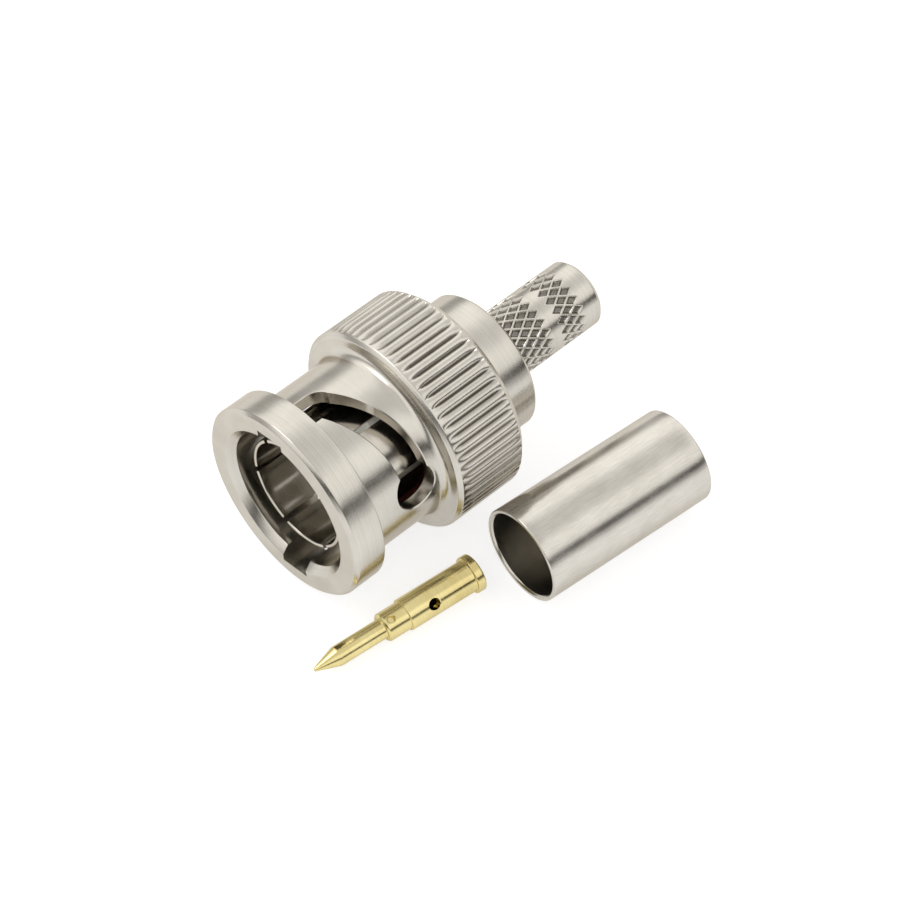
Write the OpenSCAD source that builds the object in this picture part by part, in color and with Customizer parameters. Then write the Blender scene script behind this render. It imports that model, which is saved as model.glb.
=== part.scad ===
// Coaxial bayonet plug of the crimp type, laid out as its three loose pieces:
// the assembled plug, the centre contact and the crimp ferrule.
//
// Millimetres. The plug's axis is X: its mouth is the plane x = 0 and the cable end points
// to +X. A station is a distance along a piece's own axis, measured from its front end.
// A clock angle turns about that axis from straight down, towards +Y.

/* [Coupling nut] */
// Length from the mouth to the rear face
nut_len = 14.1; // [13:0.1:17]
// Diameter of the bore that takes the mating barrel
bore_d = 9.78; // [9.6:0.01:10]
// Width of the bevel inside the mouth
mouth_bevel = 0.5; // [0.2:0.05:0.8]
// Diameter of the front ring
ring_d = 13.8; // [13:0.1:15]
// Length of the front ring
ring_len = 2.35; // [1.5:0.05:3]
// Bevel on the front ring's outer edge
ring_bevel = 0.25; // [0.1:0.05:0.6]
// Diameter of the sleeve that the bayonet slots pass through
sleeve_d = 11.7; // [11.5:0.1:12.6]
// Length of the grip flange at the rear
grip_len = 5.7; // [4.5:0.1:6]
// Diameter over the knurl
grip_d = 14.5; // [14:0.1:17]
// Radius of the fillet between the sleeve and the grip
neck_r = 0.8; // [0.3:0.05:1]
// Length of the smooth band in front of the knurl
band_len = 0.6; // [0.3:0.05:1]
// Bevel on the grip's front edge
band_bevel = 0.25; // [0.1:0.05:0.4]
// Bevel on the grip's rear edge
rim_bevel = 0.45; // [0.3:0.05:0.8]
// Number of straight knurl ridges
knurl_count = 60; // [40:1:80]
// Depth of the knurl grooves
knurl_depth = 0.22; // [0.1:0.01:0.28]
// Share of the knurl's pitch that the grooves take up
knurl_groove_share = 0.5; // [0.3:0.05:0.8]
// Thickness of the rear lip that pulls on the spring
lip_t = 1; // [0.6:0.1:1.4]

/* [Bayonet slots] */
// Number of slots around the nut
slot_count = 2; // [2:1:2]
// Clock angle of the first slot's entry
entry_clock = -10; // [-60:1:60]
// Width of the straight entry groove
entry_w = 2.2; // [2:0.05:2.6]
// Diameter across the bottoms of the entry grooves
entry_d = 11.5; // [11.2:0.1:12.4]
// Width of the sloping slot
slot_w = 2.1; // [1.9:0.05:2.5]
// Station where the slope begins
ramp_start = 3.95; // [3.6:0.05:4.6]
// Station where the slope levels out
ramp_end = 6.3; // [5.6:0.05:6.6]
// Angle that the slope turns through
ramp_turn = 76; // [60:1:90]
// Diameter of the round pocket that locks the stud
pocket_d = 3; // [2.6:0.05:3.4]
// Angle from the entry to the pocket
pocket_turn = 84; // [70:1:95]
// Distance from the slot's level end forward to the pocket's centre
pocket_setback = 0.15; // [0:0.05:0.4]

/* [Outer contact] */
// Diameter of the bore that holds the front insulator
insulator_d = 7.0; // [6.8:0.02:7.1]
// Distance from the mouth back to the finger tips
tip_recess = 1.1; // [0.4:0.1:2]
// Diameter over the finger tips
finger_d = 8.08; // [7.8:0.02:8.3]
// Wall of the fingers
finger_wall = 0.32; // [0.24:0.02:0.45]
// Depth of the waist behind the finger tips
finger_waist = 0.08; // [0.02:0.02:0.12]
// Length of the raised bead at the tips
tip_bead = 0.8; // [0.5:0.1:1.5]
// Number of slots that part the fingers
finger_slots = 6; // [4:1:8]
// Width of those slots
finger_slot_w = 0.42; // [0.2:0.02:0.6]
// Clock angle of the first finger slot
finger_clock = 17; // [0:1:59]
// Length of solid wall between the slots and the gasket
finger_root = 0.9; // [0.4:0.1:2]
// Diameter of the flange that carries the gasket
flange_d = 9.4; // [9.1:0.05:9.5]
// Thickness of that flange
flange_t = 0.8; // [0.5:0.1:1.2]
// Wall of the tail pressed into the body
tail_wall = 0.4; // [0.3:0.05:0.5]
// Length of that tail
tail_len = 1.8; // [1.2:0.1:2.2]

/* [Gasket, washers and spring] */
// Thickness of the gasket
gasket_t = 1; // [0.6:0.1:1.5]
// Thickness of each flat washer
washer_t = 0.25; // [0.15:0.05:0.4]
// Free height of the wave washer
wave_h = 1.1; // [0.9:0.1:1.4]
// Thickness of its strip
wave_t = 0.22; // [0.15:0.01:0.3]
// Number of waves around it
wave_count = 3; // [3:1:5]

/* [Plug body] */
// Diameter of the barrel that the nut turns on
barrel_d = 7.7; // [7.5:0.05:8]
// Diameter of the hub behind the nut
hub_d = 9.8; // [9:0.1:11]
// Length of the hub
hub_len = 3.2; // [2:0.1:5]
// Bevel on the hub's edges
hub_bevel = 0.2; // [0.05:0.05:0.4]
// Diameter of the crimp stem
stem_d = 4.8; // [4.6:0.05:5.2]
// Length of the crimp stem
stem_len = 8.4; // [8:0.1:11]
// Bevel on the stem's end
stem_bevel = 0.3; // [0.1:0.05:0.5]
// Bore for the cable's dielectric
stem_bore_d = 3.1; // [2.9:0.05:3.4]

/* [Crimp knurl] */
// Pits around the stem
pit_count = 20; // [16:1:22]
// Distance between rows of pits
pit_pitch = 0.6; // [0.5:0.01:0.65]
// Depth of the pits
pit_depth = 0.2; // [0.1:0.01:0.3]
// Width of the ridges left between pits
pit_ridge = 0.1; // [0.06:0.01:0.2]
// Distance from the hub to the first band's first row
band_1_start = 1.05; // [0.9:0.05:1.5]
// Rows of pits in the first band
band_1_rows = 5; // [1:1:5]
// Distance from the hub to the second band's first row
band_2_start = 5.15; // [4.8:0.05:5.5]
// Rows of pits in the second band
band_2_rows = 3; // [1:1:3]

/* [Insulators] */
// Thickness of the front insulator ahead of the pin's shoulder
insulator_lip = 0.85; // [0.5:0.05:1.5]
// Diameter of the rear insulator
rear_insulator_d = 5.56; // [5:0.02:5.7]
// Length of rear insulator behind the tail
insulator_foot = 0.6; // [0.3:0.1:0.8]

/* [Contact pin] */
// Overall length
pin_len = 12.4; // [11.5:0.1:14]
// Length of the tapered point
point_len = 1.7; // [1:0.1:2.5]
// Diameter of the blunt end of the point
nose_d = 0.24; // [0.1:0.02:0.5]
// Diameter of the mating shaft
shaft_d = 1.35; // [1.3:0.01:1.4]
// Length from the tip to the shoulder
shaft_len = 5.15; // [4.5:0.05:5.5]
// Diameter of the shoulder
shoulder_d = 1.95; // [1.8:0.05:2.1]
// Length of the shoulder
shoulder_len = 1.65; // [1:0.05:2]
// Bevel on the shoulder's front edge
shoulder_bevel = 0.12; // [0.05:0.01:0.2]
// Diameter of the pin's barrel
pin_barrel_d = 2.2; // [2.15:0.05:2.3]
// Diameter of the collar at the rear
collar_d = 2.57; // [2.4:0.01:2.8]
// Length of the collar
collar_len = 0.6; // [0.4:0.1:1]
// Bore that takes the cable's inner conductor
cup_d = 1.05; // [0.9:0.05:1.2]
// Depth of that bore
cup_depth = 4.3; // [4:0.1:5]
// Diameter of the inspection hole into it
sight_d = 0.8; // [0.5:0.05:0.9]
// Distance from the rear end to the inspection hole
sight_back = 3.75; // [3:0.05:3.9]
// Clock angle of the inspection hole
sight_clock = 234; // [180:1:360]
// Diameter of the snap dimple in the shoulder
dimple_d = 0.5; // [0.3:0.05:0.6]
// Depth of the snap dimple
dimple_depth = 0.25; // [0.1:0.05:0.35]
// Clock angle of the snap dimple
dimple_clock = 198; // [180:1:360]

/* [Crimp ferrule] */
// Outer diameter
ferrule_d = 6.62; // [6.3:0.02:7]
// Wall
ferrule_wall = 0.35; // [0.25:0.05:0.5]
// Length
ferrule_len = 13; // [11:0.1:15]
// Bevel inside both mouths
ferrule_bevel = 0.15; // [0.05:0.05:0.2]

/* [Layout] */
// Where the pin's tip lies, along the plug
pin_x = -4; // [-8:0.1:0]
// Distance from the front ring's side to the pin's tip
pin_side = 0.35; // [0.3:0.05:4]
// Turn of the pin about the vertical
pin_yaw = -7; // [-15:0.5:5]
// Distance from the nut's rear face forward to the ferrule's front mouth
ferrule_lead = 3.9; // [-2:0.1:4]
// Distance from the grip's side to the centre of the ferrule's front mouth
ferrule_side = 3.65; // [3.6:0.05:8]
// Turn of the ferrule about the vertical
ferrule_yaw = -4.5; // [-15:0.5:0]

/* [Clearances] */
// Radial gap of the nut's lip on the barrel
run_gap = 0.05; // [0.02:0.01:0.1]
// Radial gap of pieces pushed into each other
push_gap = 0.02; // [0.01:0.01:0.04]
// Radial gap of loose washers and seals in the nut
loose_gap = 0.1; // [0.06:0.01:0.2]
// Gap between the wave washer's crests and the washers
crest_gap = 0.01; // [0.005:0.005:0.03]

/* [Hidden] */
$fn = 96;

nickel = [0.80, 0.79, 0.76];
bright_nickel = [0.86, 0.85, 0.82];
gold = [0.86, 0.78, 0.50];
steel = [0.62, 0.62, 0.63];
ptfe = [0.95, 0.94, 0.91];
silicone = [0.75, 0.30, 0.24];

// How far a cutting tool runs past the face that it leaves
past = 1;

// Stations along the plug, from the mouth. The hub stops the nut's rear face.
bore_r = bore_d / 2;
sleeve_r = sleeve_d / 2;
grip_r = grip_d / 2;
grip_x = nut_len - grip_len;
knurl_x = grip_x + band_len;
lip_x = nut_len - lip_t;
thrust_x = lip_x - washer_t;
wave_x = thrust_x - wave_h;
front_washer_x = wave_x - washer_t;
flange_x = front_washer_x - flange_t;
gasket_x = flange_x - gasket_t;
finger_end = gasket_x - finger_root;
hub_x = nut_len;
stem_x = hub_x + hub_len;
stem_end = stem_x + stem_len;

// Radii of what nests inside the nut
barrel_r = barrel_d / 2;
stem_r = stem_d / 2;
finger_r = finger_d / 2;
finger_bore_r = finger_r - finger_wall;
ring_out_r = bore_r - loose_gap;
ring_in_r = barrel_r + loose_gap;
tail_bore_r = rear_insulator_d / 2 + push_gap;
tail_r = tail_bore_r + tail_wall;

// The tail ends inside the body, and the rear insulator's foot stands behind it.
body_x = front_washer_x;
tail_end = body_x + tail_len;
insulator_seat = body_x - flange_t / 2;
foot_end = tail_end + insulator_foot;

// Stations on the pin, and where its collar seats when it is pushed home
barrel_start = shaft_len + shoulder_len;
collar_x = pin_len - collar_len;
seated_tip = foot_end - collar_x;
seated_shoulder = seated_tip + shaft_len;
insulator_x = seated_shoulder - insulator_lip;

// The pin lies on the front edges of its barrel and its collar.
floor_z = -grip_r;
pin_tilt = atan((collar_d - pin_barrel_d) / 2 / (collar_x - barrel_start));
pin_tip_z = floor_z + pin_barrel_d / 2 * cos(pin_tilt) - barrel_start * sin(pin_tilt);

// Points along an arc, from one angle to another
function arc(centre, r, from, to, steps = 8) =
    [for (i = [0:steps]) let (a = from + (to - from) * i / steps)
        centre + r * [cos(a), sin(a)]];

// Stands a shape turned about Z onto the X axis, so that its height becomes a station.
module on_axis() {
    rotate([0, 90, 0]) children();
}

// A solid of revolution on the X axis, from an outline of [radius, station] points
module turned(outline) {
    on_axis() rotate_extrude() polygon(outline);
}

// A ring on the X axis with square edges
module ring(x, length, outer_r, inner_r) {
    turned([[inner_r, x], [outer_r, x], [outer_r, x + length], [inner_r, x + length]]);
}

// Copies of a shape around the X axis, the first at a clock angle
module around(count, clock = 0) {
    for (i = [0:count - 1]) rotate([clock + 360 * i / count, 0, 0]) children();
}

// A round hole at one station, cut along -Z from the axis outwards
module radial_hole(x, d) {
    translate([x, 0, 0]) rotate([180, 0, 0]) cylinder(h = grip_r, d = d, $fn = 32);
}

// ---- Coupling nut ----

module nut_blank() {
    turned(concat(
        [[bore_r + mouth_bevel, 0],
         [ring_d / 2 - ring_bevel, 0], [ring_d / 2, ring_bevel],
         [ring_d / 2, ring_len], [sleeve_r, ring_len]],
        arc([sleeve_r + neck_r, grip_x - neck_r], neck_r, 180, 90),
        [[grip_r - band_bevel, grip_x], [grip_r, grip_x + band_bevel],
         [grip_r, nut_len - rim_bevel], [grip_r - rim_bevel, nut_len],
         [barrel_r + run_gap, nut_len], [barrel_r + run_gap, lip_x],
         [bore_r, lip_x], [bore_r, mouth_bevel]]));
}

// The V-shaped grooves of the straight knurl
module knurl_tool() {
    half_w = PI * grip_r / knurl_count * knurl_groove_share;
    groove = [[grip_r - knurl_depth, 0], [grip_r + knurl_depth, 2 * half_w],
              [grip_r + knurl_depth, -2 * half_w]];
    translate([knurl_x, 0, 0]) on_axis() linear_extrude(grip_len)
        for (i = [0:knurl_count - 1]) rotate(360 * i / knurl_count) polygon(groove);
}

// The sloping slot: a closed strip of four-cornered rings that follows a parabola
module ramp_tool() {
    steps = 24;
    inner_r = bore_r - past;
    outer_r = grip_r;
    rise = ramp_end - ramp_start;
    per_degree = sleeve_r * PI / 180;
    function ring_at(t) =
        let (run = ramp_turn * per_degree,
             slope = 2 * rise * (1 - t),
             half = slot_w / 2 / norm([run, slope]),
             clock = ramp_turn * t,
             x = ramp_end - rise * (1 - t) * (1 - t))
        [for (corner = [[-1, inner_r], [-1, outer_r], [1, outer_r], [1, inner_r]])
            let (a = clock - corner[0] * half * slope / per_degree)
            [x + corner[0] * half * run, corner[1] * sin(a), -corner[1] * cos(a)]];
    points = [for (i = [0:steps]) each ring_at(i / steps)];
    sides = [for (i = [0:steps - 1]) for (k = [0:3])
        let (a = 4 * i + k, b = 4 * i + (k + 1) % 4)
        each [[a, b, b + 4], [a, b + 4, a + 4]]];
    last = 4 * steps;
    polyhedron(points, concat(sides, [[3, 2, 1, 0], [last, last + 1, last + 2, last + 3]]));
}

module bayonet_tool() {
    // entry groove, blind in the front ring and open behind it
    translate([-past, -entry_w / 2, -entry_d / 2])
        cube([ramp_start + past, entry_w, entry_d / 2]);
    translate([ring_len, -entry_w / 2, -grip_r])
        cube([ramp_start - ring_len, entry_w, grip_r]);
    radial_hole(ramp_start, entry_w);
    ramp_tool();
    around(1, pocket_turn) radial_hole(ramp_end - pocket_setback, pocket_d);
}

module coupling_nut() {
    color(nickel) difference() {
        nut_blank();
        knurl_tool();
        around(slot_count, entry_clock) bayonet_tool();
    }
}

// ---- Plug body, with its crimp stem ----

// A diamond-shaped pit in the stem's surface, cut along -Z
module pit(x) {
    half_arc = PI * stem_r / pit_count - pit_ridge / 2;
    half_len = pit_pitch - pit_ridge / 2;
    lift = stem_r / 16;
    grow = 1 + lift / pit_depth;
    points = [[x - half_len * grow, 0, -stem_r - lift], [x, -half_arc * grow, -stem_r - lift],
              [x + half_len * grow, 0, -stem_r - lift], [x, half_arc * grow, -stem_r - lift],
              [x, 0, -stem_r + pit_depth]];
    polyhedron(points, [[0, 1, 2, 3], [1, 0, 4], [2, 1, 4], [3, 2, 4], [0, 3, 4]]);
}

// A band of pits, with every second row turned by half a pit
module pit_band(x, rows) {
    for (row = [0:rows - 1])
        around(pit_count, row % 2 * 180 / pit_count) pit(x + row * pit_pitch);
}

module plug_body() {
    color(nickel) difference() {
        turned([[tail_r + push_gap, body_x], [barrel_r, body_x], [barrel_r, hub_x],
                [hub_d / 2 - hub_bevel, hub_x], [hub_d / 2, hub_x + hub_bevel],
                [hub_d / 2, stem_x - hub_bevel], [hub_d / 2 - hub_bevel, stem_x],
                [stem_r, stem_x], [stem_r, stem_end - stem_bevel],
                [stem_r - stem_bevel, stem_end], [stem_bore_d / 2, stem_end],
                [stem_bore_d / 2, foot_end], [tail_bore_r, foot_end],
                [tail_bore_r, tail_end + push_gap], [tail_r + push_gap, tail_end + push_gap]]);
        pit_band(stem_x + band_1_start, band_1_rows);
        pit_band(stem_x + band_2_start, band_2_rows);
    }
}

// ---- Outer contact: spring fingers, gasket flange and pressed tail ----

module outer_contact() {
    waist_r = finger_r - finger_waist;
    waist_end = finger_end + finger_root / 3;
    tip_x = tip_recess;
    edge = finger_wall / 3;
    color(bright_nickel) difference() {
        turned([[finger_bore_r + edge, tip_x], [finger_r - edge, tip_x],
                [finger_r, tip_x + edge], [finger_r, tip_x + tip_bead - finger_waist],
                [waist_r, tip_x + tip_bead], [waist_r, waist_end],
                [finger_r, waist_end + finger_waist], [finger_r, flange_x],
                [flange_d / 2, flange_x], [flange_d / 2, body_x],
                [tail_r, body_x], [tail_r, tail_end], [tail_bore_r, tail_end],
                [tail_bore_r, insulator_seat], [insulator_d / 2, insulator_seat],
                [insulator_d / 2, insulator_x], [finger_bore_r, insulator_x],
                [finger_bore_r, tip_x + edge]]);
        around(finger_slots, finger_clock)
            translate([0, -finger_slot_w / 2, -grip_r])
                cube([finger_end, finger_slot_w, grip_r]);
    }
}

// ---- Seal, washers and spring between the flange and the nut's lip ----

module gasket() {
    seal_r = flange_d / 2;
    hole_r = finger_r + push_gap;
    bevel = (seal_r - hole_r) / 4;
    color(silicone) turned([
        [hole_r, gasket_x + bevel], [hole_r + bevel, gasket_x], [seal_r - bevel, gasket_x],
        [seal_r, gasket_x + bevel], [seal_r, flange_x], [hole_r, flange_x]]);
}

module front_washer() {
    // held between the flange and the spring, around the body's barrel
    color(steel) ring(front_washer_x, washer_t, ring_out_r, ring_in_r);
}

module thrust_washer() {
    color(steel) ring(thrust_x, washer_t, ring_out_r, ring_in_r);
}

// A flat strip bent into waves around its ring
module wave_washer() {
    steps = 24 * wave_count;
    swing = (wave_h - wave_t) / 2 - crest_gap;
    middle = wave_x + wave_h / 2;
    points = [for (i = [0:steps - 1])
        let (a = 360 * i / steps, x = middle + swing * cos(wave_count * a))
        each [for (corner = [[ring_in_r, -1], [ring_out_r, -1], [ring_out_r, 1], [ring_in_r, 1]])
            [x + corner[1] * wave_t / 2, corner[0] * sin(a), -corner[0] * cos(a)]]];
    faces = [for (i = [0:steps - 1]) for (k = [0:3])
        let (next = (i + 1) % steps,
             a = 4 * i + k, b = 4 * i + (k + 1) % 4,
             c = 4 * next + (k + 1) % 4, d = 4 * next + k)
        each [[a, b, c], [a, c, d]]];
    color(steel) polyhedron(points, faces);
}

// ---- Insulators ----

module front_insulator() {
    body_r = insulator_d / 2 - push_gap;
    step_x = seated_tip + barrel_start;
    color(ptfe) turned([
        [shaft_d / 2 + push_gap, insulator_x], [body_r, insulator_x],
        [body_r, insulator_seat], [pin_barrel_d / 2 + push_gap, insulator_seat],
        [pin_barrel_d / 2 + push_gap, step_x], [shoulder_d / 2 + push_gap, step_x],
        [shoulder_d / 2 + push_gap, seated_shoulder], [shaft_d / 2 + push_gap, seated_shoulder]]);
}

module rear_insulator() {
    color(ptfe) ring(insulator_seat, foot_end - insulator_seat,
                     rear_insulator_d / 2, pin_barrel_d / 2 + push_gap);
}

// ---- Centre contact, lying beside the plug ----

module contact_pin() {
    color(gold)
    translate([pin_x, -ring_d / 2 - pin_side, pin_tip_z]) rotate([0, -pin_tilt, pin_yaw]) difference() {
        turned([[0, 0], [nose_d / 2, 0], [shaft_d / 2, point_len], [shaft_d / 2, shaft_len],
                [shoulder_d / 2 - shoulder_bevel, shaft_len],
                [shoulder_d / 2, shaft_len + shoulder_bevel],
                [shoulder_d / 2, barrel_start], [pin_barrel_d / 2, barrel_start],
                [pin_barrel_d / 2, collar_x], [collar_d / 2, collar_x],
                [collar_d / 2, pin_len], [cup_d / 2, pin_len],
                [cup_d / 2, pin_len - cup_depth], [0, pin_len - cup_depth]]);
        around(1, sight_clock) radial_hole(pin_len - sight_back, sight_d);
        around(1, dimple_clock) translate([0, 0, dimple_depth - shoulder_d / 2])
            radial_hole(shaft_len + shoulder_len / 3, dimple_d);
    }
}

// ---- Crimp ferrule, lying beside the plug ----

module crimp_ferrule() {
    outer_r = ferrule_d / 2;
    inner_r = outer_r - ferrule_wall;
    color(nickel)
    translate([nut_len - ferrule_lead, -grip_r - ferrule_side, floor_z + outer_r])
        rotate([0, 0, ferrule_yaw])
        turned([[inner_r + ferrule_bevel, 0], [outer_r, 0], [outer_r, ferrule_len],
                [inner_r + ferrule_bevel, ferrule_len], [inner_r, ferrule_len - ferrule_bevel],
                [inner_r, ferrule_bevel]]);
}

coupling_nut();
plug_body();
outer_contact();
gasket();
front_washer();
wave_washer();
thrust_washer();
front_insulator();
rear_insulator();
contact_pin();
crimp_ferrule();
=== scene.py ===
"""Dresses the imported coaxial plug: turned metal pieces with knurls and slots, finishes, light and camera.

Sizes are in millimetres and repeat the model's. The plug's axis is X and its mouth is at x = 0.
A station is a distance along a piece's own axis. A clock angle turns from straight down towards +Y.
"""
import math

import bpy
import numpy as np
from mathutils import Matrix, Vector


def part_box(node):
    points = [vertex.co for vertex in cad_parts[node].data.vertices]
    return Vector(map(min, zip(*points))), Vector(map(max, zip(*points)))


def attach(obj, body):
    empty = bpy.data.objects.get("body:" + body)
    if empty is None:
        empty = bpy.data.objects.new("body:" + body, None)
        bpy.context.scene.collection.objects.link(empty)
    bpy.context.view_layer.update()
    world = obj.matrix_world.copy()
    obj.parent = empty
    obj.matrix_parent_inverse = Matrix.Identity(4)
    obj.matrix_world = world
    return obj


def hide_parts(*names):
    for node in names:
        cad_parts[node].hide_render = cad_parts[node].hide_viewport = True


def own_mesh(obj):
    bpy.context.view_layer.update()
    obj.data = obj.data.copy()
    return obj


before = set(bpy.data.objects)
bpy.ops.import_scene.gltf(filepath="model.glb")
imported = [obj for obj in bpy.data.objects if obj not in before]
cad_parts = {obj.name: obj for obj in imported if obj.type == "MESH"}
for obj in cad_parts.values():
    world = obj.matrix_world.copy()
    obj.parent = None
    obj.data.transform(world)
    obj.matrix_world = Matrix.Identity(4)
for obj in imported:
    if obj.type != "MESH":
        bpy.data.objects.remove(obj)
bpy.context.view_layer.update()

MM = 0.001


def node_box(name):
    """Lowest and highest corner of a CAD node, in millimetres."""
    return [[v / MM for v in corner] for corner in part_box(name)]


# ---- Sizes ----

nut_low, nut_high = node_box("coupling_nut")
NUT_LEN = nut_high[0]
GRIP_R = nut_high[2]
FLOOR_Z = -GRIP_R

BORE_R = 4.89
RING_R = 6.9
RING_LEN = 2.35
SLEEVE_R = 5.85
GRIP_X = NUT_LEN - 5.7
NECK_R = 0.8
KNURL_START = GRIP_X + 0.6
RIM_BEVEL = 0.45
KNURL_END = NUT_LEN - RIM_BEVEL
KNURL_COUNT = 60
KNURL_DEPTH = 0.22
LIP_X = NUT_LEN - 1.0

SLOT_COUNT = 2
ENTRY_CLOCK = -10
ENTRY_W = 2.2
ENTRY_R = 5.75
SLOT_W = 2.1
RAMP_START = 3.95
RAMP_END = 6.3
RAMP_TURN = 76
POCKET_R = 1.5
POCKET_X = RAMP_END - 0.15
POCKET_TURN = 84
SLOT_EDGE = 0.06

HUB_R = 4.9
STEM_R = 2.4
STEM_BORE_R = 1.55
BARREL_R = 3.85
PIT_COUNT = 20
PIT_PITCH = 0.6
PIT_DEPTH = 0.2

FINGER_R = 4.04
FINGER_WALL = 0.32
FINGER_SLOTS = 6
FINGER_SLOT_W = 0.42
FINGER_CLOCK = 17

body_low, body_high = node_box("plug_body")
STEM_END = body_high[0]
STEM_X = STEM_END - 8.4
PIT_BANDS = [(STEM_X + 1.05, 5), (STEM_X + 5.15, 3)]

# ---- Mesh tools ----


def arc_corner(before, corner, after, radius, steps):
    """Points that round one corner of an outline."""
    a = Vector(before) - Vector(corner)
    b = Vector(after) - Vector(corner)
    half = a.angle(b) / 2
    reach = min(radius / math.tan(half), a.length * 0.49, b.length * 0.49)
    radius = reach * math.tan(half)
    a.normalize()
    b.normalize()
    centre = Vector(corner) + (a + b).normalized() * radius / math.sin(half)
    start = Vector(corner) + a * reach - centre
    end = Vector(corner) + b * reach - centre
    turn = start.angle_signed(end)
    return [centre + Matrix.Rotation(-turn * i / steps, 2) @ start for i in range(steps + 1)]


def rounded(corners, steps=4):
    """A closed outline from (station, radius, rounding) corners."""
    outline = []
    for i, (x, r, rounding) in enumerate(corners):
        if rounding <= 0:
            outline.append(Vector((x, r)))
            continue
        before = corners[i - 1][:2]
        after = corners[(i + 1) % len(corners)][:2]
        outline += arc_corner(before, (x, r), after, rounding, steps)
    return outline


def spaced(outline, step):
    """The outline with its long straight stretches cut into steps."""
    out = []
    for i, p in enumerate(outline):
        q = outline[(i + 1) % len(outline)]
        count = max(1, math.ceil((q - p).length / step))
        out += [p.lerp(q, k / count) for k in range(count)]
    return out


def lathe(outline, segments, relief=None):
    """A closed solid of revolution about X. relief(x, r, angle) gives how far each point sinks."""
    verts = []
    rings = []
    turns = np.arange(segments) * 2 * math.pi / segments
    for x, r in outline:
        if r < 1e-6:
            rings.append([len(verts)] * segments)
            verts.append((x, 0.0, 0.0))
            continue
        rings.append(list(range(len(verts), len(verts) + segments)))
        radii = np.full(segments, r) if relief is None else r - relief(x, r, turns)
        verts += [(x, rr * math.sin(t), -rr * math.cos(t)) for rr, t in zip(radii, turns)]
    faces = []
    for i, ring in enumerate(rings):
        following = rings[(i + 1) % len(rings)]
        for k in range(segments):
            m = (k + 1) % segments
            corners = [ring[k], following[k], following[m], ring[m]]
            face = [c for n, c in enumerate(corners) if c != corners[n - 1]]
            if len(face) > 2:
                faces.append(face)
    return verts, faces


def mesh_object(name, verts, faces):
    mesh = bpy.data.meshes.new(name)
    mesh.from_pydata([Vector(v) * MM for v in verts], [], faces)
    mesh.update()
    obj = bpy.data.objects.new(name, mesh)
    bpy.context.scene.collection.objects.link(obj)
    outward(mesh)
    return obj


def outward(mesh):
    """Turns a closed mesh's faces outwards."""
    import bmesh
    bm = bmesh.new()
    bm.from_mesh(mesh)
    bmesh.ops.recalc_face_normals(bm, faces=bm.faces)
    bm.to_mesh(mesh)
    bm.free()


def prism(x0, x1, section):
    """A bar along X whose section is a list of (y, z) points."""
    n = len(section)
    verts = [(x, y, z) for x in (x0, x1) for y, z in section]
    sides = [[k, (k + 1) % n, n + (k + 1) % n, n + k] for k in range(n)]
    return verts, sides + [list(range(n)), list(range(2 * n - 1, n - 1, -1))]


def stack(rings):
    """A closed solid through rings of equally many points."""
    n = len(rings[0])
    verts = [p for ring in rings for p in ring]
    faces = [[i * n + k, i * n + (k + 1) % n, (i + 1) * n + (k + 1) % n, (i + 1) * n + k]
             for i in range(len(rings) - 1) for k in range(n)]
    last = (len(rings) - 1) * n
    return verts, faces + [list(range(n)), list(range(last + n - 1, last - 1, -1))]


def at_clock(verts, clock):
    """Turns points built around +Z, with +Y as the clock's sense, to a clock angle."""
    a = math.radians(clock)
    return [(x, z * math.sin(a) + y * math.cos(a), -z * math.cos(a) + y * math.sin(a))
            for x, y, z in verts]


def combined(obj, tools, operation):
    """Applies booleans with the tools, which are used up."""
    for tool in tools:
        mod = obj.modifiers.new("cut", "BOOLEAN")
        mod.operation = operation
        mod.solver = "MANIFOLD"
        mod.object = tool
        bpy.context.view_layer.update()
        graph = bpy.context.evaluated_depsgraph_get()
        done = bpy.data.meshes.new_from_object(obj.evaluated_get(graph))
        obj.modifiers.clear()
        old = obj.data
        obj.data = done
        bpy.data.meshes.remove(old)
        bpy.data.objects.remove(tool)
    return obj


def finish_piece(obj, body, material, nodes, place=None, sharp=32, recess=None):
    """Adds the material's attributes, the smooth shading and the body that the piece rides on."""
    mesh = obj.data
    co = np.empty(len(mesh.vertices) * 3)
    mesh.vertices.foreach_get("co", co)
    local = co.reshape(-1, 3) / MM
    mesh.attributes.new("local_mm", "FLOAT_VECTOR", "POINT").data.foreach_set("vector", local.ravel())
    # The recess depth is what the material darkens as painted shade in grooves and pits.
    depth = np.zeros(len(local)) if recess is None else recess(local)
    mesh.attributes.new("recess", "FLOAT", "POINT").data.foreach_set("value", depth)
    if place is not None:
        mesh.transform(place)
    mesh.polygons.foreach_set("use_smooth", [True] * len(mesh.polygons))
    mesh.set_sharp_from_angle(angle=math.radians(sharp))
    mesh.materials.clear()
    mesh.materials.append(material)
    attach(obj, body)
    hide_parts(*nodes)
    return obj


# ---- Coupling nut ----


def knurl_share(x):
    """How much of the knurl's depth there is at a station: it fades in at both ends."""
    fade = 0.12
    return np.clip(np.minimum(x - KNURL_START, KNURL_END - x) / fade, 0, 1)


def knurl_relief(x, r, turns):
    """Rounded ridges with narrow grooves between them."""
    if abs(r - GRIP_R) > 0.01 or not KNURL_START < x < KNURL_END:
        return np.zeros(len(turns))
    phase = turns * KNURL_COUNT / (2 * math.pi) + 0.5
    off = np.abs(phase - np.round(phase))
    return KNURL_DEPTH * knurl_share(x) * (2 * off) ** 2.2


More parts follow.
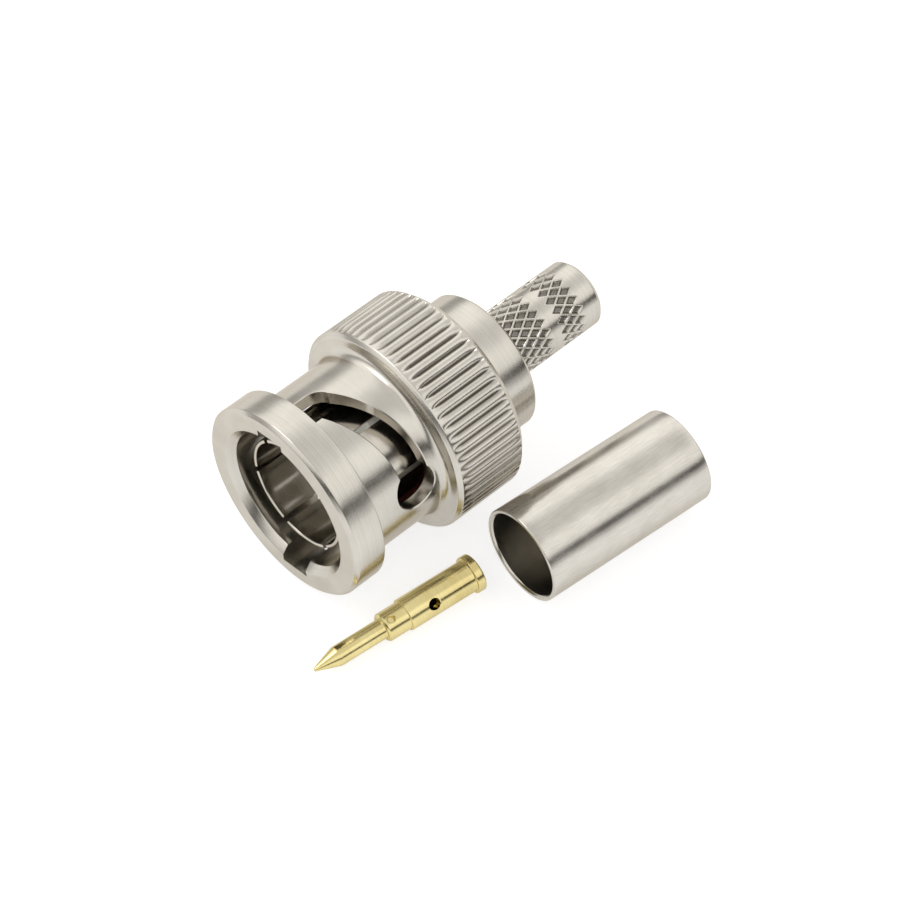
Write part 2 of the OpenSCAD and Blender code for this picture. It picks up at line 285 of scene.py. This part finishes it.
def nut_outline():
    corners = [
        (0.0, BORE_R + 0.5, 0.06), (0.0, RING_R - 0.25, 0.08), (0.25, RING_R, 0.12),
        (RING_LEN, RING_R, 0.07), (RING_LEN, SLEEVE_R, 0.03),
        (GRIP_X, SLEEVE_R, NECK_R), (GRIP_X, GRIP_R - 0.25, 0.08), (GRIP_X + 0.25, GRIP_R, 0.15),
        (KNURL_END, GRIP_R, 0.05), (NUT_LEN, GRIP_R - RIM_BEVEL, 0.1),
        (NUT_LEN, BARREL_R + 0.05, 0.04), (LIP_X, BARREL_R + 0.05, 0.04),
        (LIP_X, BORE_R, 0.05), (0.5, BORE_R, 0.06)]
    return spaced(rounded(corners, 5), 0.4)


def bored_tool(clock, x, radius):
    """A cutter for a round opening in the sleeve, with a small bevel where it comes out."""
    turns = [2 * math.pi * k / 64 for k in range(64)]

    def ring(rho, surface):
        return [(x + rho * math.sin(t), rho * math.cos(t),
                 math.sqrt(surface ** 2 - (rho * math.cos(t)) ** 2)) for t in turns]

    rings = [ring(radius, BORE_R - 0.9), ring(radius, SLEEVE_R - SLOT_EDGE),
             ring(radius + SLOT_EDGE, SLEEVE_R), ring(radius + SLOT_EDGE + 0.3, SLEEVE_R + 0.3),
             ring(radius + SLOT_EDGE + 0.3, GRIP_R + 0.3)]
    verts, faces = stack(rings)
    return mesh_object("tool", at_clock(verts, clock), faces)


def entry_tool(clock):
    """The straight way in behind the front ring, bevelled along its sides."""
    half = ENTRY_W / 2
    wide = half + SLOT_EDGE

    def top(y, surface):
        return (y, math.sqrt(surface ** 2 - y ** 2))

    right = [(half, BORE_R - 0.9), top(half, SLEEVE_R - SLOT_EDGE), top(wide, SLEEVE_R),
             top(wide + 0.3, SLEEVE_R + 0.3), (wide + 0.3, GRIP_R + 0.3)]
    section = right + [(-y, z) for y, z in reversed(right)]
    verts, faces = prism(RING_LEN + 0.002, RAMP_START, section)
    return mesh_object("tool", at_clock(verts, clock), faces)


def groove_tool(clock):
    """The blind groove that runs from the mouth under the front ring."""
    half = ENTRY_W / 2
    floor = BORE_R - 0.9
    verts, faces = prism(-1.0, RAMP_START, [(half, floor), (half, ENTRY_R), (-half, ENTRY_R), (-half, floor)])
    return mesh_object("tool", at_clock(verts, clock), faces)


def ramp_tool(clock):
    """The sloping slot along its parabola, bevelled along both edges."""
    steps = 60
    rise = RAMP_END - RAMP_START
    per_degree = SLEEVE_R * math.pi / 180
    run = RAMP_TURN * per_degree
    half = SLOT_W / 2
    section = [(half, BORE_R - 0.9), (half, SLEEVE_R - SLOT_EDGE), (half + SLOT_EDGE, SLEEVE_R),
               (half + SLOT_EDGE + 0.3, SLEEVE_R + 0.3), (half + SLOT_EDGE + 0.3, GRIP_R + 0.3)]
    section += [(-w, r) for w, r in reversed(section)]
    rings = []
    for i in range(steps + 1):
        t = i / steps
        slope = 2 * rise * (1 - t)
        size = math.hypot(run, slope)
        x = RAMP_END - rise * (1 - t) ** 2
        ring = []
        for w, r in section:
            a = math.radians(clock + RAMP_TURN * t - w * slope / size / per_degree)
            ring.append((x + w * run / size, r * math.sin(a), -r * math.cos(a)))
        rings.append(ring)
    verts, faces = stack(rings)
    return mesh_object("tool", verts, faces)


def slot_tool(clock):
    tool = groove_tool(clock)
    parts = [entry_tool(clock), bored_tool(clock, RAMP_START, ENTRY_W / 2), ramp_tool(clock),
             bored_tool(clock + POCKET_TURN, POCKET_X, POCKET_R)]
    return combined(tool, parts, "UNION")


def nut_recess(local):
    """How deep each point sits in the knurl's grooves, which the material darkens as painted shade."""
    r = np.hypot(local[:, 1], local[:, 2])
    in_knurl = (local[:, 0] > KNURL_START) & (local[:, 0] < KNURL_END)
    return np.where(in_knurl & (r > GRIP_R - 1.2 * KNURL_DEPTH), (GRIP_R - r) / KNURL_DEPTH, 0)


def coupling_nut(material):
    verts, faces = lathe(nut_outline(), KNURL_COUNT * 10, knurl_relief)
    nut = mesh_object("coupling_nut_turned", verts, faces)
    tools = [slot_tool(ENTRY_CLOCK + 360 * i / SLOT_COUNT) for i in range(SLOT_COUNT)]
    combined(nut, tools, "DIFFERENCE")
    return finish_piece(nut, "nut", material, ["coupling_nut"], recess=nut_recess)


# ---- Plug body ----


def pit_relief(x, turns):
    """Share of the pits' depth at a station: diamonds between crossing ridges, with whole pits only."""
    share = np.zeros(len(turns))
    for start, rows in PIT_BANDS:
        row = (x - start) / PIT_PITCH
        cell = turns * PIT_COUNT / (2 * math.pi)
        p = cell + row / 2
        q = cell - row / 2
        mine = (np.round(p) - np.round(q) >= 0) & (np.round(p) - np.round(q) < rows)
        wall = 0.5 - np.maximum(np.abs(p - np.round(p)), np.abs(q - np.round(q)))
        slope = np.clip((wall - 0.05) / 0.2, 0, 1)
        share = np.maximum(share, np.where(mine, slope * slope * (3 - 2 * slope), 0))
    return share


def body_relief(x, r, turns):
    if abs(r - STEM_R) > 0.01 or not STEM_X < x < STEM_END:
        return np.zeros(len(turns))
    return PIT_DEPTH * pit_relief(x, turns)


def body_outline():
    body_x = body_low[0]
    tail_bore = 2.8
    tail_r = tail_bore + 0.42
    foot_end = body_x + 2.4
    tail_end = body_x + 1.82
    front = [(body_x, tail_r, 0.03), (body_x, BARREL_R, 0.06), (NUT_LEN, BARREL_R, 0.03),
             (NUT_LEN, HUB_R - 0.2, 0.05), (NUT_LEN + 0.2, HUB_R, 0.1),
             (STEM_X - 0.2, HUB_R, 0.1), (STEM_X, HUB_R - 0.2, 0.05), (STEM_X, STEM_R, 0.06)]
    rear = [(STEM_END - 0.3, STEM_R, 0.1), (STEM_END, STEM_R - 0.3, 0.08),
            (STEM_END, STEM_BORE_R, 0.06), (foot_end, STEM_BORE_R, 0.03),
            (foot_end, tail_bore, 0.03), (tail_end, tail_bore, 0.0), (tail_end, tail_r, 0.03)]
    outline = rounded(front + rear, 5)
    split = next(i for i, p in enumerate(outline) if p.x > STEM_END - 0.4 and abs(p.y - STEM_R) < 1e-6)
    stem = [outline[split - 1], outline[split]]
    count = round((stem[1].x - stem[0].x) / 0.05)
    rows = [stem[0].lerp(stem[1], k / count) for k in range(1, count)]
    return spaced(outline[:split], 0.6)[:-1] + rows + outline[split:]


def body_recess(local):
    # How deep each point sits in the stem's pits, which the material darkens as painted shade.
    r = np.hypot(local[:, 1], local[:, 2])
    on_stem = (local[:, 0] > STEM_X + 0.1) & (local[:, 0] < STEM_END - 0.4) & (r > STEM_R - 1.2 * PIT_DEPTH)
    return np.where(on_stem, (STEM_R - r) / PIT_DEPTH, 0)


def plug_body(material):
    verts, faces = lathe(body_outline(), PIT_COUNT * 16, body_relief)
    body = mesh_object("plug_body_turned", verts, faces)
    return finish_piece(body, "plug", material, ["plug_body"], recess=body_recess)


# ---- Outer contact ----


def outer_contact(material):
    low, high = node_box("outer_contact")
    tip = low[0]
    flange_end = 11.5
    flange_x = flange_end - 0.8
    slot_end = flange_x - 1.9
    waist = FINGER_R - 0.08
    inner = FINGER_R - FINGER_WALL
    corners = [
        (tip, inner + 0.02, 0.1), (tip, FINGER_R, 0.14), (tip + 0.72, FINGER_R, 0.3), (tip + 0.8, waist, 0.3),
        (slot_end + 0.3, waist, 0.1), (slot_end + 0.38, FINGER_R, 0.1), (flange_x, FINGER_R, 0.05),
        (flange_x, 4.7, 0.06), (flange_end, 4.7, 0.06), (flange_end, 3.2, 0.05),
        (high[0], 3.2, 0.1), (high[0], 2.8, 0.05), (flange_end - 0.4, 2.8, 0.03),
        (flange_end - 0.4, 3.6, 0.03), (6.4, 3.6, 0.03), (6.4, inner, 0.03)]
    verts, faces = lathe(spaced(rounded(corners, 4), 0.6), 240)
    contact = mesh_object("outer_contact_turned", verts, faces)
    half = FINGER_SLOT_W / 2
    tools = []
    for i in range(FINGER_SLOTS):
        section = [(half, 2.9), (half, 4.5), (-half, 4.5), (-half, 2.9)]
        bar, sides = prism(-1.0, slot_end, section)
        tools.append(mesh_object("tool", at_clock(bar, FINGER_CLOCK + 60 * i), sides))
    combined(contact, tools, "DIFFERENCE")
    return finish_piece(contact, "plug", material, ["outer_contact"])


# ---- Inner pieces ----


def ring_piece(name, node, body, material, rounding, bore_r, segments=160):
    """A plain ring that fills a CAD ring's place, with eased edges."""
    low, high = node_box(node)
    r = high[2]
    corners = [(low[0], bore_r, rounding), (low[0], r, rounding), (high[0], r, rounding), (high[0], bore_r, rounding)]
    verts, faces = lathe(rounded(corners, 3), segments)
    return finish_piece(mesh_object(name, verts, faces), body, material, [node])


def front_insulator(material):
    low, high = node_box("front_insulator")
    r = high[2]
    corners = [(low[0], 0.695, 0.1), (low[0], r, 0.12), (high[0], r, 0.05), (high[0], 1.12, 0.05),
               (low[0] + 2.5, 1.12, 0.03), (low[0] + 2.5, 0.995, 0.03), (low[0] + 0.85, 0.995, 0.03),
               (low[0] + 0.85, 0.695, 0.03)]
    verts, faces = lathe(rounded(corners, 3), 160)
    piece = mesh_object("front_insulator_turned", verts, faces)
    return finish_piece(piece, "plug", material, ["front_insulator"])


def wave_washer(material):
    """A flat strip bent into waves around its ring, with eased edges."""
    low, high = node_box("wave_washer")
    height = high[0] - low[0]
    strip = 0.22
    middle = (low[0] + high[0]) / 2
    swing = (height - strip) / 2
    inner, outer = BARREL_R + 0.1, high[2]
    section = rounded([(-strip / 2, inner, 0.05), (-strip / 2, outer, 0.05),
                       (strip / 2, outer, 0.05), (strip / 2, inner, 0.05)], 2)
    rings = []
    for k in range(180):
        a = 2 * math.pi * k / 180
        wave = middle + swing * math.cos(3 * a)
        rings.append([(wave + s.x, s.y * math.sin(a), -s.y * math.cos(a)) for s in section])
    n = len(section)
    verts = [p for ring in rings for p in ring]
    faces = [[i * n + k, i * n + (k + 1) % n, (i + 1) % 180 * n + (k + 1) % n, (i + 1) % 180 * n + k]
             for i in range(180) for k in range(n)]
    piece = finish_piece(mesh_object("wave_washer_bent", verts, faces), "plug", material,
                         ["wave_washer"])
    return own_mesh(piece)


# ---- Contact pin ----

PIN_LEN = 12.4
PIN_YAW = -7
PIN_X = -4.0
PIN_Y = -RING_R - 0.35
PIN_BARREL_R = 1.1
COLLAR_R = 1.285
BARREL_START = 6.8
COLLAR_X = PIN_LEN - 0.6
PIN_TILT = math.atan((COLLAR_R - PIN_BARREL_R) / (COLLAR_X - BARREL_START))
PIN_Z = FLOOR_Z + PIN_BARREL_R * math.cos(PIN_TILT) - BARREL_START * math.sin(PIN_TILT)


def pin_place():
    spot = Matrix.Translation(Vector((PIN_X, PIN_Y, PIN_Z)) * MM)
    return spot @ Matrix.Rotation(math.radians(PIN_YAW), 4, "Z") @ Matrix.Rotation(-PIN_TILT, 4, "Y")


def pin_hole(clock, x, radius, floor, surface):
    """A cutter for a small round hole with a bevelled mouth."""
    bevel = 0.05
    turns = [2 * math.pi * k / 40 for k in range(40)]

    def ring(rho, z):
        return [(x + rho * math.sin(t), rho * math.cos(t), z) for t in turns]

    top = surface - 0.06
    verts, faces = stack([ring(radius, floor), ring(radius, top), ring(radius + bevel + 0.05, top + 0.11),
                          ring(radius + bevel + 0.05, surface + 0.4)])
    return mesh_object("tool", at_clock(verts, clock), faces)


def contact_pin(material):
    cup_r = 0.525
    cup_end = PIN_LEN - 4.3
    corners = [
        (0.0, 0.0, 0), (0.0, 0.12, 0.06), (1.7, 0.675, 0.6), (5.15, 0.675, 0.05), (5.15, 0.855, 0.04),
        (5.27, 0.975, 0.06), (BARREL_START, 0.975, 0.03), (BARREL_START, PIN_BARREL_R, 0.05),
        (COLLAR_X, PIN_BARREL_R, 0.05), (COLLAR_X, COLLAR_R, 0.07), (PIN_LEN, COLLAR_R, 0.1),
        (PIN_LEN, cup_r, 0.12), (cup_end, cup_r, 0.03), (cup_end, 0.0, 0)]
    verts, faces = lathe(spaced(rounded(corners, 5), 0.5), 96)
    pin = mesh_object("contact_pin_turned", verts, faces)
    tools = [pin_hole(234, PIN_LEN - 3.75, 0.4, 0.0, PIN_BARREL_R),
             pin_hole(198, 5.15 + 1.65 / 3, 0.25, 0.975 - 0.25, 0.975)]
    combined(pin, tools, "DIFFERENCE")
    return finish_piece(pin, "plug", material, ["contact_pin"], place=pin_place())


# ---- Crimp ferrule ----

FERRULE_LEN = 13.0
FERRULE_R = 3.31
FERRULE_WALL = 0.35
FERRULE_YAW = -4.5


def ferrule_place():
    spot = Vector((NUT_LEN - 3.9, -GRIP_R - 3.65, FLOOR_Z + FERRULE_R)) * MM
    return Matrix.Translation(spot) @ Matrix.Rotation(math.radians(FERRULE_YAW), 4, "Z")


def crimp_ferrule(material):
    inner = FERRULE_R - FERRULE_WALL
    corners = [(0.0, inner + 0.12, 0.08), (0.0, FERRULE_R, 0.1), (FERRULE_LEN, FERRULE_R, 0.1),
               (FERRULE_LEN, inner + 0.12, 0.08), (FERRULE_LEN - 0.15, inner, 0.1), (0.15, inner, 0.1)]
    verts, faces = lathe(spaced(rounded(corners, 5), 0.5), 240)
    ferrule = mesh_object("crimp_ferrule_drawn", verts, faces)
    return finish_piece(ferrule, "plug", material, ["crimp_ferrule"], place=ferrule_place())


# ---- Materials ----


def new_material(name):
    mat = bpy.data.materials.new(name)
    mat.use_nodes = True
    tree = mat.node_tree
    tree.nodes.clear()
    out = tree.nodes.new("ShaderNodeOutputMaterial")
    shader = tree.nodes.new("ShaderNodeBsdfPrincipled")
    tree.links.new(shader.outputs[0], out.inputs[0])
    return mat, tree, shader


def attribute(tree, name, output):
    node = tree.nodes.new("ShaderNodeAttribute")
    node.attribute_name = name
    return node.outputs[output]


def scaled(tree, vector, scale):
    node = tree.nodes.new("ShaderNodeVectorMath")
    node.operation = "MULTIPLY"
    tree.links.new(vector, node.inputs[0])
    node.inputs[1].default_value = scale
    return node.outputs[0]


def noise(tree, vector, scale, detail=3.0, roughness=0.55):
    node = tree.nodes.new("ShaderNodeTexNoise")
    node.inputs["Scale"].default_value = scale
    node.inputs["Detail"].default_value = detail
    node.inputs["Roughness"].default_value = roughness
    tree.links.new(vector, node.inputs["Vector"])
    return node.outputs["Fac"]


def remap(tree, value, low, high, to_low, to_high):
    node = tree.nodes.new("ShaderNodeMapRange")
    tree.links.new(value, node.inputs["Value"])
    for key, number in zip(("From Min", "From Max", "To Min", "To Max"), (low, high, to_low, to_high)):
        node.inputs[key].default_value = number
    return node.outputs["Result"]


def math_node(tree, operation, a, b):
    node = tree.nodes.new("ShaderNodeMath")
    node.operation = operation
    for socket, value in zip(node.inputs, (a, b)):
        if isinstance(value, (int, float)):
            socket.default_value = value
        else:
            tree.links.new(value, socket)
    return node.outputs[0]


def mixed(tree, factor, first, second):
    node = tree.nodes.new("ShaderNodeMix")
    node.data_type = "RGBA"
    tree.links.new(factor, node.inputs["Factor"])
    for socket, value in zip((node.inputs["A"], node.inputs["B"]), (first, second)):
        if isinstance(value, tuple):
            socket.default_value = (*value, 1)
        else:
            tree.links.new(value, socket)
    return node.outputs["Result"]


def bump(tree, height, strength, distance_mm, normal=None):
    node = tree.nodes.new("ShaderNodeBump")
    node.inputs["Strength"].default_value = strength
    node.inputs["Distance"].default_value = distance_mm * MM
    tree.links.new(height, node.inputs["Height"])
    if normal is not None:
        tree.links.new(normal, node.inputs["Normal"])
    return node.outputs["Normal"]


def turned_coords(tree):
    """(station, radius, 0), along which a lathe's tool marks run as rings."""
    local = attribute(tree, "local_mm", "Vector")
    split = tree.nodes.new("ShaderNodeSeparateXYZ")
    tree.links.new(local, split.inputs[0])
    flat = tree.nodes.new("ShaderNodeCombineXYZ")
    tree.links.new(split.outputs["Y"], flat.inputs["Y"])
    tree.links.new(split.outputs["Z"], flat.inputs["Z"])
    length = tree.nodes.new("ShaderNodeVectorMath")
    length.operation = "LENGTH"
    tree.links.new(flat.outputs[0], length.inputs[0])
    join = tree.nodes.new("ShaderNodeCombineXYZ")
    tree.links.new(split.outputs["X"], join.inputs["X"])
    tree.links.new(length.outputs["Value"], join.inputs["Y"])
    return join.outputs[0]


def plated(name, base, dark, rough, marks=1.0, along=False, painted_shade_colour=(0.05, 0.04, 0.035), painted_shade_strength=0.7):
    """Plated metal with tool marks, a tumbled grain, cloudy patches and painted shade, near black, in its recesses.

    Marks run around the piece as a lathe leaves them, or along it as drawing does."""
    mat, tree, shader = new_material(name)
    local = attribute(tree, "local_mm", "Vector")
    if along:
        lines = noise(tree, scaled(tree, local, (0.12, 1, 1)), 9.0, 4.0, 0.6)
    else:
        lines = noise(tree, turned_coords(tree), 14.0, 4.0, 0.65)
    grain = noise(tree, local, 9.0, 3.0, 0.6)
    cloud = noise(tree, local, 0.45, 2.0, 0.5)
    tone = remap(tree, math_node(tree, "ADD", lines, cloud), 0.75, 1.3, 0.0, 1.0)
    colour = mixed(tree, tone, dark, base)
    # Painted shade: the recess depth darkens the colour towards near black in grooves and pits, and roughens them
    # there.
    recess = attribute(tree, "recess", "Fac")
    painted_shade_mask = remap(tree, recess, 0.25, 1.0, 0.0, painted_shade_strength)
    colour = mixed(tree, painted_shade_mask, colour, painted_shade_colour)
    tree.links.new(colour, shader.inputs["Base Color"])
    shader.inputs["Metallic"].default_value = 1.0
    shader.inputs["Specular Tint"].default_value = (0.72, 0.68, 0.62, 1)
    smear = math_node(tree, "ADD", math_node(tree, "MULTIPLY", grain, 0.5), math_node(tree, "MULTIPLY", cloud, 0.5))
    base_rough = remap(tree, smear, 0.3, 0.7, rough * 0.75, rough * 1.35)
    tree.links.new(math_node(tree, "ADD", base_rough, math_node(tree, "MULTIPLY", painted_shade_mask, 0.25)),
                   shader.inputs["Roughness"])
    normal = bump(tree, lines, 0.25 * marks, 0.01)
    normal = bump(tree, grain, 0.2 * marks, 0.012, normal)
    tree.links.new(normal, shader.inputs["Normal"])
    return mat


def dielectric(name, base, dark, rough, subsurface=0.0, grain_scale=6.0):
    """Plastic or rubber with faint mottling and a fine surface."""
    mat, tree, shader = new_material(name)
    local = attribute(tree, "local_mm", "Vector")
    mottle = noise(tree, local, 1.2, 3.0)
    grain = noise(tree, local, grain_scale, 3.0)
    tree.links.new(mixed(tree, remap(tree, mottle, 0.35, 0.65, 0.0, 1.0), dark, base), shader.inputs["Base Color"])
    tree.links.new(remap(tree, grain, 0.3, 0.7, rough * 0.8, rough * 1.15), shader.inputs["Roughness"])
    tree.links.new(bump(tree, grain, 0.25, 0.01), shader.inputs["Normal"])
    if subsurface:
        shader.inputs["Subsurface Weight"].default_value = subsurface
        shader.inputs["Subsurface Radius"].default_value = (0.0006, 0.0005, 0.0004)
    return mat


# ---- Stage ----

TENT_STRENGTH = 1.5
TENT_NEAR = [(0.0, 0.5), (1.0, 0.62), (0.1, 0.45), (0.18, 0.05), (0.32, 0.05), (0.42, 0.8), (0.75, 0.9), (0.88, 0.6)]
TENT_FAR = [(0.0, 0.4), (1.0, 0.62), (0.12, 0.35), (0.3, 0.45), (0.42, 0.95), (0.8, 0.95), (0.9, 0.6)]


def path_mix(tree, seen, lit):
    """lit for diffuse light, and seen for what the camera, mirrors and glass see."""
    path = tree.nodes.new("ShaderNodeLightPath")
    direct = math_node(tree, "MAXIMUM", path.outputs["Is Camera Ray"], path.outputs["Is Glossy Ray"])
    direct = math_node(tree, "MAXIMUM", direct, path.outputs["Is Transmission Ray"])
    mix = tree.nodes.new("ShaderNodeMixShader")
    tree.links.new(direct, mix.inputs[0])
    tree.links.new(lit, mix.inputs[1])
    tree.links.new(seen, mix.inputs[2])
    return mix.outputs[0]


def grey_ramp(tree, value, stops):
    """A ramp of slightly warm greys."""
    ramp = tree.nodes.new("ShaderNodeValToRGB")
    tree.links.new(value, ramp.inputs["Fac"])
    elements = ramp.color_ramp.elements
    for i, (place, level) in enumerate(stops):
        stop = elements[i] if i < 2 else elements.new(place)
        stop.position = place
        stop.color = (level, level * 0.985, level * 0.955, 1)
    return ramp.outputs[0]


def world_light():
    """A white tent seen by the metal: soft boxes overhead, a dark gap above the horizon on the near side."""
    world = bpy.data.worlds.new("studio")
    bpy.context.scene.world = world
    world.use_nodes = True
    tree = world.node_tree
    tree.nodes.clear()
    out = tree.nodes.new("ShaderNodeOutputWorld")
    path = tree.nodes.new("ShaderNodeLightPath")
    white = tree.nodes.new("ShaderNodeBackground")
    white.inputs["Color"].default_value = (1, 1, 1, 1)
    tent = tree.nodes.new("ShaderNodeBackground")
    tent.inputs["Strength"].default_value = TENT_STRENGTH
    coords = tree.nodes.new("ShaderNodeTexCoord")
    split = tree.nodes.new("ShaderNodeSeparateXYZ")
    tree.links.new(coords.outputs["Generated"], split.inputs[0])
    near = grey_ramp(tree, split.outputs["Z"], TENT_NEAR)
    far = grey_ramp(tree, split.outputs["Z"], TENT_FAR)
    side = remap(tree, split.outputs["Y"], 0.0, 0.5, 0.0, 1.0)
    tree.links.new(mixed(tree, side, near, far), tent.inputs["Color"])
    mix = tree.nodes.new("ShaderNodeMixShader")
    tree.links.new(path.outputs["Is Camera Ray"], mix.inputs[0])
    tree.links.new(tent.outputs[0], mix.inputs[1])
    tree.links.new(white.outputs[0], mix.inputs[2])
    tree.links.new(mix.outputs[0], out.inputs[0])


def floor():
    """A white sheet that shows as white and keeps the pieces' shadow."""
    size = 400.0
    verts = [(-size, -size, FLOOR_Z - 0.001), (size, -size, FLOOR_Z - 0.001),
             (size, size, FLOOR_Z - 0.001), (-size, size, FLOOR_Z - 0.001)]
    plane = mesh_object("floor", verts, [[0, 1, 2, 3]])
    mat = bpy.data.materials.new("white_sheet")
    mat.use_nodes = True
    tree = mat.node_tree
    tree.nodes.clear()
    out = tree.nodes.new("ShaderNodeOutputMaterial")
    matt = tree.nodes.new("ShaderNodeBsdfDiffuse")
    matt.inputs["Color"].default_value = (0.8, 0.8, 0.8, 1)
    dim = tree.nodes.new("ShaderNodeBsdfDiffuse")
    dim.inputs["Color"].default_value = (0.42, 0.42, 0.42, 1)
    glow = tree.nodes.new("ShaderNodeEmission")
    glow.inputs["Strength"].default_value = 0.72
    add = tree.nodes.new("ShaderNodeAddShader")
    tree.links.new(dim.outputs[0], add.inputs[0])
    tree.links.new(glow.outputs[0], add.inputs[1])
    tree.links.new(path_mix(tree, add.outputs[0], matt.outputs[0]), out.inputs[0])
    plane.data.materials.append(mat)


def lamp(name, place, target, size, power, shape="DISK"):
    data = bpy.data.lights.new(name, "AREA")
    data.shape = shape
    data.size = size * MM
    data.energy = power
    obj = bpy.data.objects.new(name, data)
    bpy.context.scene.collection.objects.link(obj)
    obj.location = Vector(place) * MM
    aim = (Vector(target) - Vector(place)).to_track_quat("-Z", "Y")
    obj.rotation_euler = aim.to_euler()
    return obj


CAMERA_AZIMUTH = -43.75
CAMERA_ELEVATION = 51.84
CAMERA_ROLL = 0.74
CAMERA_DISTANCE = 229.0
CAMERA_TARGET = (14.51, 0.18, FLOOR_Z)


def camera():
    data = bpy.data.cameras.new("camera")
    data.lens = 140
    data.sensor_width = 36
    data.clip_start = 0.001
    obj = bpy.data.objects.new("camera", data)
    bpy.context.scene.collection.objects.link(obj)
    a = math.radians(CAMERA_AZIMUTH)
    e = math.radians(CAMERA_ELEVATION)
    back = Vector((math.sin(a) * math.cos(e), -math.cos(a) * math.cos(e), math.sin(e)))
    obj.location = (Vector(CAMERA_TARGET) + back * CAMERA_DISTANCE) * MM
    look = (-back).to_track_quat("-Z", "Y").to_matrix().to_4x4()
    obj.rotation_euler = (look @ Matrix.Rotation(math.radians(CAMERA_ROLL), 4, "Z")).to_euler()
    bpy.context.scene.camera = obj


# ---- Scene ----

bpy.context.scene.view_settings.view_transform = "Standard"
camera()
world_light()
floor()
lamp("key", (-60, 80, 150), (10, 0, 0), 90, 0.05)

nickel = plated("nickel_satin", (0.62, 0.595, 0.545), (0.52, 0.495, 0.45), 0.2)
drawn_nickel = plated("nickel_drawn", (0.64, 0.615, 0.57), (0.54, 0.515, 0.47), 0.2, marks=0.6, along=True)
# The same nickel, smoother as bright plating; its darker, browner colour is painted shade for the contact inside the
# nut.
shaded_contact_nickel = plated("nickel_bright_painted_shade", (0.58, 0.55, 0.495), (0.47, 0.44, 0.39), 0.16, marks=0.6)
gold = plated("gold_bright", (0.78, 0.68, 0.34), (0.66, 0.55, 0.25), 0.16, marks=0.8)
steel = plated("steel_spring", (0.56, 0.55, 0.54), (0.42, 0.41, 0.40), 0.3)
ptfe = dielectric("fluoropolymer_white", (0.86, 0.85, 0.81), (0.80, 0.79, 0.74), 0.42, subsurface=0.25)
rubber = dielectric("silicone_red", (0.45, 0.10, 0.06), (0.36, 0.07, 0.045), 0.6)

coupling_nut(nickel)
plug_body(nickel)
outer_contact(shaded_contact_nickel)
front_insulator(ptfe)
ring_piece("rear_insulator_turned", "rear_insulator", "plug", ptfe, 0.05, 1.12)
ring_piece("gasket_moulded", "gasket", "plug", rubber, 0.15, 4.06)
ring_piece("front_washer_stamped", "front_washer", "plug", steel, 0.04, BARREL_R + 0.1)
ring_piece("thrust_washer_stamped", "thrust_washer", "thrust_ring", steel, 0.04, BARREL_R + 0.1)
wave_washer(steel)
contact_pin(gold)
crimp_ferrule(drawn_nickel)
